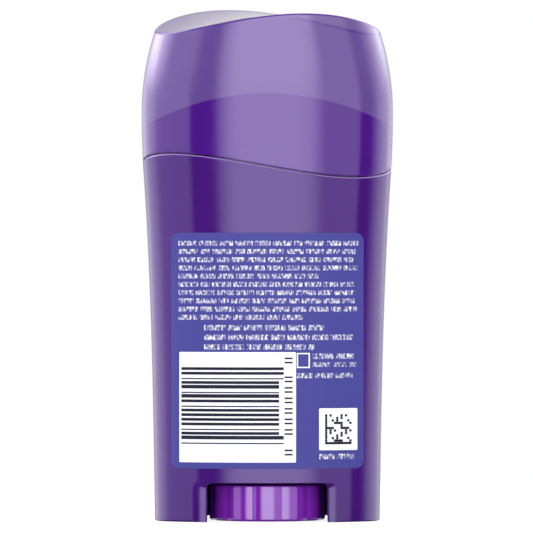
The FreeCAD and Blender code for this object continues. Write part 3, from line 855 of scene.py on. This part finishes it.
def barrel_plastic(finish):
    """Polished purple moulding."""
    return base_material("barrel_plastic", finish.barrel, 0.09, 0.02, 120.0, 0.0, Specular_IOR_Level=0.6,
                         Specular_Tint=(0.72, 0.62, 1.0, 1), Coat_Weight=0.4, Coat_Roughness=0.05)


def shaded_plastic(name, tone):
    """Matt plastic without gloss for faces deep in the arch that sit in shade: a shaded copy of a glossy
    plastic, whose lost gloss stands in for the shade. A darker tone passed in is painted shade.
    """
    return base_material(name, tone, 0.9, 0.05, 400.0, 0.1, Specular_IOR_Level=0.05)


def cap_plastic(finish, name, alpha):
    """Milky see-through purple moulding with a glossy skin."""
    return base_material(name, finish.cap, 0.08, 0.02, 120.0, 0.0, Alpha=alpha, Specular_IOR_Level=1.0,
                         Specular_Tint=(0.80, 0.62, 1.0, 1), Coat_Weight=1.0, Coat_Roughness=0.05)


def wheel_plastic(finish):
    """Glossy violet moulding."""
    return base_material("wheel_plastic", finish.wheel, 0.08, 0.02, 150.0, 0.0, Specular_IOR_Level=1.0,
                         Coat_Weight=0.66, Coat_Roughness=0.05)


def label_film(finish):
    """Satin printed film."""
    return base_material("label_film", finish.label, 0.55, 0.05, 1500.0, 0.05, Specular_IOR_Level=0.25)


def ink(name, tone):
    """Flat ink on the film, with a little mottle."""
    return base_material(name, tone, 0.6, 0.08, 2500.0, 0.0, Specular_IOR_Level=0.2)


def word_ink(finish):
    """Ink of the word bars: the bars fade in fine upright streaks, as small print does from a step away."""
    material = base_material("word_ink", finish.white, 0.6, 0.08, 2500.0, 0.0)
    tree = material.node_tree
    where = node(tree, "TexCoord", {})
    place = node(tree, "Mapping", {"Vector": where.outputs["Object"], "Scale": (1.0, 0.0, 0.45)})
    streak = node(tree, "TexNoise", {"Vector": place.outputs["Vector"], "Scale": 2100.0, "Detail": 1.0})
    steps = node(tree, "MapRange", {"Value": streak.outputs["Fac"], "From Min": 0.42, "From Max": 0.72})
    mix = node(tree, "Mix", {"Factor": steps.outputs["Result"], "A": (*finish.label, 1),
                             "B": (*finish.white, 1)}, data_type="RGBA")
    feed(tree, tree.nodes["Principled BSDF"], {"Base Color": mix.outputs["Result"]})
    return material


def bar_wax(finish):
    """Smooth waxy white, lit a little from within."""
    return base_material("bar_wax", finish.bar, 0.42, 0.10, 500.0, 0.25, Subsurface_Weight=0.25,
                         Subsurface_Radius=(0.002, 0.0018, 0.0015), Subsurface_Scale=1.0)


def platform_plastic(finish):
    """Plain natural moulding with a fine grain."""
    return base_material("platform_plastic", finish.platform, 0.38, 0.08, 1200.0, 0.2)


def put(piece, body, slot, *nodes):
    """Seats a piece on its body and hides the solids that it stands for. The slot is not used."""
    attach(piece, body)
    if nodes:
        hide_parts(*nodes)


class STICK_OT_barrel(bpy.types.Operator):
    """Barrel with shoulder, neck, bore, floor plate, feet and finger arch"""
    bl_idname = "stick.barrel"
    bl_label = "Barrel"

    def execute(self, context):
        shape = context.scene.stick_shape
        finish = context.scene.stick_finish
        rings, shoulder = barrel_rings(shape, angles())
        faces = ring_faces(len(rings), AROUND)
        row = np.arange(len(faces)) // AROUND
        # Painted highlight: the upper rows of the shoulder's rounding take a lighter lilac in place of the
        # light they reflect.
        painted_highlight_rows = (row > shoulder) & (row < shoulder + EDGE_ROWS)
        edge = base_material("barrel_edge_highlight", finish.edge, 0.3, 0.05, 400.0, 0.0)
        barrel = add_object("barrel_shell", rings, faces, barrel_plastic(finish), (edge,),
                            painted_highlight_rows.astype(int))
        cut(barrel, [arch_cutter(shape), foot_cutter(shape, -1), foot_cutter(shape, 1),
                     rod(shape.hole_radius, shape.floor_z - 3 * MM, shape.floor_z + 4 * MM)])
        keep_flat(barrel)
        put(barrel, "barrel", "barrel_plastic", "barrel")
        # Painted shade: the ribs take a matt, gloss-free copy of the barrel plastic.
        shaded_copy = shaded_plastic("shaded_plastic", finish.barrel)
        for name, side in (("left_rib", -1), ("right_rib", 1)):
            rings, faces = rib_rings(shape, context.scene.stick_wheel, side)
            rib = add_object(name, rings, faces, shaded_copy)
            put(rib, "barrel", "barrel_plastic")
        return {"FINISHED"}


class STICK_OT_cap(bpy.types.Operator):
    """Cap with its wavy mouth and twisted top"""
    bl_idname = "stick.cap"
    bl_label = "Cap"

    def execute(self, context):
        finish = context.scene.stick_finish
        rings, inside, rim = cap_rings(context.scene.stick_shape, angles())
        faces = ring_faces(len(rings), AROUND)
        row = np.arange(len(faces)) // AROUND
        which = np.where(row < inside - 1, 1, np.where((row > rim) & (row < rim + EDGE_ROWS), 2, 0))
        skin = cap_plastic(finish, "cap_plastic", finish.cap_alpha)
        lining = cap_plastic(finish, "cap_lining", finish.lining_alpha)
        dense = base_material("cap_rim", finish.cap, 0.2, 0.05, 400.0, 0.0)
        cap = add_object("cap_shell", rings, faces, skin, (lining, dense), which)
        keep_flat(cap)
        put(cap, "cap", "cap_plastic", "cap")
        return {"FINISHED"}


class STICK_OT_wheel(bpy.types.Operator):
    """Thumb wheel with journal, collar and feed screw"""
    bl_idname = "stick.wheel"
    bl_label = "Thumb wheel"

    def execute(self, context):
        wheel = context.scene.stick_wheel
        material = wheel_plastic(context.scene.stick_finish)
        count = wheel.lobes * 24
        rings = wheel_rings(wheel, angles(count))
        faces = ring_faces(len(rings), count)
        heights = rings.reshape(-1, 3)[faces][..., 2]
        upper = (np.abs(heights - wheel.top_z) < wheel.edge / 2).all(axis=1)
        # Painted shade: the wheel's top face, under the floor plate, takes a matt copy of the wheel colour at
        # three tenths of its brightness.
        shaded_copy = shaded_plastic("wheel_top_shade", [0.3 * c for c in context.scene.stick_finish.wheel])
        turned = add_object("wheel_and_screw", rings, faces, material, (shaded_copy,), upper.astype(int))
        keep_flat(turned)
        put(turned, "thumb_wheel", "wheel_plastic", "thumb_wheel")
        points, faces = thread_rings(wheel)
        thread = add_object("screw_thread", points, faces, material)
        put(thread, "thumb_wheel", "wheel_plastic")
        return {"FINISHED"}


class STICK_OT_carriage(bpy.types.Operator):
    """Bar of deodorant and the finish of the platform under it"""
    bl_idname = "stick.carriage"
    bl_label = "Bar and platform"

    def execute(self, context):
        scene = context.scene
        shape, wheel, finish = scene.stick_shape, scene.stick_wheel, scene.stick_finish
        rings = bar_rings(shape, wheel, angles())
        bar = add_object("bar_of_deodorant", rings, ring_faces(len(rings), AROUND), bar_wax(finish))
        put(bar, "carriage", "bar_wax", "deodorant_bar")
        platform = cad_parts["platform"]
        platform.data.materials.clear()
        platform.data.materials.append(platform_plastic(finish))
        return {"FINISHED"}


class STICK_OT_labels(bpy.types.Operator):
    """Back and front label films"""
    bl_idname = "stick.labels"
    bl_label = "Labels"

    def execute(self, context):
        shape, label = context.scene.stick_shape, context.scene.stick_label
        material = label_film(context.scene.stick_finish)
        half = label.width / 2
        patch = [(-half, half, label.low_z, label.high_z, label.corner)]
        for name, side in (("back_label", -1), ("front_label", 1)):
            points, faces = film(shape, patch, 0.01 * MM, label.film, side)
            piece = add_object(name + "_film", points, faces, material)
            put(piece, "barrel", "label_film", name)
        return {"FINISHED"}


class STICK_OT_print(bpy.types.Operator):
    """Plain printed shapes on the back label"""
    bl_idname = "stick.print"
    bl_label = "Print"

    def execute(self, context):
        scene = context.scene
        shape, label, finish = scene.stick_shape, scene.stick_label, scene.stick_finish
        white, black = ink("white_ink", finish.white), ink("black_ink", finish.black)
        panel = (label.panel_left, label.panel_left + label.panel_width,
                 label.panel_low_z, label.panel_low_z + label.panel_height, label.panel_corner)
        square = (label.code_left, label.code_left + label.code_width,
                  label.code_low_z, label.code_low_z + label.code_height, label.panel_corner)
        first, second = label.film + label.ink, label.film + 2 * label.ink
        under = label.film - 0.01 * MM
        jobs = (("striped_panel", [panel], under, first, white, "print_white", ("barcode_panel",)),
                ("square_panel", [square], under, first, white, "print_white", ("code_panel",)),
                ("stripes", stripe_patches(label), first - 0.01 * MM, second, black, "print_black",
                 ("barcode_stripes",)),
                ("square_cells", cell_patches(label), first - 0.01 * MM, second, black, "print_black",
                 ("code_cells",)),
                ("marks", mark_patches(), first - 0.01 * MM, second, black, "print_black", ()),
                ("printed_frame", frame_patches(), under, first, white, "print_white", ()),
                ("word_bars", word_bars(), under, first, word_ink(finish), "print_white", ()))
        for name, patches, low, high, material, slot, nodes in jobs:
            points, faces = film(shape, patches, low, high, -1)
            piece = add_object(name, points, faces, material)
            put(piece, "barrel", slot, *nodes)
        return {"FINISHED"}


class STICK_OT_stage(bpy.types.Operator):
    """Camera, floor, soft panels and a plain white surround"""
    bl_idname = "stick.stage"
    bl_label = "Stage"

    # Radiance of the soft wall against the azimuth in degrees from the camera's side: level with the stick,
    # and from high up
    level_light = ((-180, 0.9), (-166, 0.7), (-155, 0.7), (-140, 1.7), (-120, 1.8), (-106, 1.7), (-98, 1.5),
                   (-91, 1.0), (-84, 0.9), (-50, 0.9), (-46, 0.0), (-34, 0.0), (-30, 0.15), (-25, 1.4),
                   (-19, 2.45), (-14, 2.7), (17, 2.7), (24, 2.35), (33, 0.9), (61, 0.9), (66, 0.0),
                   (78, 0.0), (84, 0.35), (91, 0.95), (98, 1.4), (106, 1.65), (135, 1.65), (155, 0.7),
                   (166, 0.7), (180, 0.9))
    high_light = ((-180, 0.9), (-166, 0.7), (-155, 0.7), (-140, 2.6), (-124, 5.4), (-108, 6.2), (-100, 4.0),
                  (-88, 2.6), (-79, 1.4), (-72, 0.9), (-49, 0.9), (-41, 0.0), (-34, 0.0), (-30, 0.15),
                  (-25, 1.4), (-19, 2.45), (-14, 2.7), (20, 2.7), (27, 2.3), (33, 0.9), (58, 0.9),
                  (66, 0.1), (76, 0.2), (88, 1.1), (102, 2.4), (124, 4.2), (140, 3.0), (155, 0.7),
                  (166, 0.7), (180, 0.9))
    brightest = 6.2

    def execute(self, context):
        stage = context.scene.stick_stage
        self.camera(context.scene, stage)
        self.floor(stage)
        self.wall(stage)
        self.overhead()
        self.surround(context.scene, stage)
        context.scene.view_settings.view_transform = "Standard"
        return {"FINISHED"}

    def camera(self, scene, stage):
        """A level camera far away: the object's axis and base fall on the photograph's pixels."""
        data = bpy.data.cameras.new("camera")
        view = show("camera", data)
        middle = PHOTO_SIDE / 2
        x = (middle - stage.centre_px) * stage.scale
        z = (stage.base_px - middle) * stage.scale
        view.location = (x, -stage.distance, z)
        view.rotation_euler = (math.pi / 2, 0, 0)
        data.lens = data.sensor_width * stage.distance / (PHOTO_SIDE * stage.scale)
        data.clip_end = 50
        scene.camera = view

    def floor(self, stage):
        """A plain pale floor: mostly white to the camera, so that only the object's shadow shows."""
        h = stage.floor_half
        mesh = bpy.data.meshes.new("floor")
        mesh.from_pydata([(-h, -h, 0), (h, -h, 0), (h, h, 0), (-h, h, 0)], [], [(0, 1, 2, 3)])
        floor = show("floor", mesh)
        material, tree = new_material("floor")
        shader = tree.nodes["Principled BSDF"]
        feed(tree, shader, {"Base Color": (0.85, 0.85, 0.85, 1), "Roughness": 1.0, "Specular IOR Level": 0.0})
        glow = node(tree, "Emission", {"Strength": 1.15})
        path = node(tree, "LightPath", {})
        share = node(tree, "Math", {0: path.outputs["Is Camera Ray"], 1: 0.75}, operation="MULTIPLY")
        mix = node(tree, "MixShader", {"Fac": share.outputs[0], 1: shader.outputs["BSDF"],
                                       2: glow.outputs["Emission"]})
        feed(tree, tree.nodes["Material Output"], {"Surface": mix.outputs["Shader"]})
        mesh.materials.append(material)
        floor.visible_glossy = False

    def wall(self, stage):
        """A soft wall of light round the object, made of rings along Z. Its light follows the two lists
        above, and blends from the level one to the high one with the height."""
        count = 180
        theta = angles(count) - math.pi / 2
        levels = (stage.wall_low, stage.wall_high)
        rings = np.array([oval_ring(stage.lamp_distance, stage.lamp_distance, z, theta) for z in levels])
        mesh = bpy.data.meshes.new("soft_wall")
        mesh.from_pydata(rings.reshape(-1, 3).tolist(), [], ring_faces(2, count).tolist())
        around = mesh.uv_layers.new(name="around")
        for face in range(count):
            turn = (face / count + 0.5) % 1
            for corner, (column, row) in enumerate(((0, 0), (1, 0), (1, 1), (0, 1))):
                around.data[4 * face + corner].uv = (turn + column / count, row)
        lamp = show("soft_wall", mesh)
        lamp.visible_camera = False
        lamp.visible_shadow = False
        material, tree = new_material("soft_wall")
        tree.nodes.remove(tree.nodes["Principled BSDF"])
        place = node(tree, "UVMap", {}, uv_map="around")
        apart = node(tree, "SeparateXYZ", {"Vector": place.outputs["UV"]})
        ramps = []
        for table in (self.level_light, self.high_light):
            ramp = node(tree, "ValToRGB", {"Fac": apart.outputs["X"]})
            while len(ramp.color_ramp.elements) < len(table):
                ramp.color_ramp.elements.new(0.5)
            for stop, (azimuth, radiance) in zip(ramp.color_ramp.elements, table):
                stop.position = (azimuth + 180) / 360
                stop.color = (*[radiance / self.brightest] * 3, 1)
            ramps.append(ramp.outputs["Color"])
        height = node(tree, "MapRange", {"Value": apart.outputs["Y"], "From Min": 0.30, "From Max": 0.42},
                      interpolation_type="SMOOTHSTEP")
        blend = node(tree, "Mix", {"Factor": height.outputs["Result"], "A": ramps[0], "B": ramps[1]},
                     data_type="RGBA")
        glow = node(tree, "Emission", {"Color": blend.outputs["Result"], "Strength": self.brightest})
        feed(tree, tree.nodes["Material Output"], {"Surface": glow.outputs["Emission"]})
        mesh.materials.append(material)

    def overhead(self):
        """A soft panel above."""
        side, height, radiance = 1.2, 1.6, 0.5
        data = bpy.data.lights.new("overhead", "AREA")
        data.shape = "RECTANGLE"
        data.size = side
        data.size_y = side
        data.energy = radiance * math.pi * side * side
        lamp = show("overhead", data)
        lamp.location = (0, 0, height)
        lamp.visible_camera = False

    def surround(self, scene, stage):
        """White to the camera, an even fill for matt surfaces, and dimmer in reflections."""
        world = bpy.data.worlds.new("surround")
        scene.world = world
        world.use_nodes = True
        tree = world.node_tree
        path = node(tree, "LightPath", {})
        to_glossy = node(tree, "Mix", {"Factor": path.outputs["Is Glossy Ray"], "A": stage.fill, "B": 0.03})
        to_camera = node(tree, "Mix", {"Factor": path.outputs["Is Camera Ray"],
                                       "A": to_glossy.outputs["Result"], "B": 1.0})
        feed(tree, tree.nodes["Background"], {"Color": (1, 1, 1, 1), "Strength": to_camera.outputs["Result"]})


class STICK_PT_panel(bpy.types.Panel):
    """Lists what builds the stick"""
    bl_idname = "STICK_PT_panel"
    bl_label = "Twist-up stick"
    bl_space_type = "VIEW_3D"
    bl_region_type = "UI"
    bl_category = "Stick"

    def draw(self, context):
        for operator in OPERATORS:
            self.layout.operator(operator.bl_idname)


GROUPS = {"stick_shape": StickShape, "stick_wheel": WheelShape, "stick_label": LabelShape,
          "stick_finish": StickFinish, "stick_stage": StickStage}
OPERATORS = (STICK_OT_stage, STICK_OT_barrel, STICK_OT_cap, STICK_OT_wheel, STICK_OT_carriage,
             STICK_OT_labels, STICK_OT_print)


def register():
    """Registers the properties, the operators and the panel."""
    for name, group in GROUPS.items():
        bpy.utils.register_class(group)
        setattr(bpy.types.Scene, name, bpy.props.PointerProperty(type=group))
    for operator in OPERATORS:
        bpy.utils.register_class(operator)
    bpy.utils.register_class(STICK_PT_panel)


def unregister():
    """Takes everything out again."""
    bpy.utils.unregister_class(STICK_PT_panel)
    for operator in reversed(OPERATORS):
        bpy.utils.unregister_class(operator)
    for name, group in GROUPS.items():
        delattr(bpy.types.Scene, name)
        bpy.utils.unregister_class(group)


def main():
    """Builds the stick piece by piece."""
    register()
    bpy.ops.stick.stage()
    bpy.ops.stick.barrel()
    bpy.ops.stick.cap()
    bpy.ops.stick.wheel()
    bpy.ops.stick.carriage()
    bpy.ops.stick.labels()
    bpy.ops.stick.print()


if __name__ == "__main__":
    main()
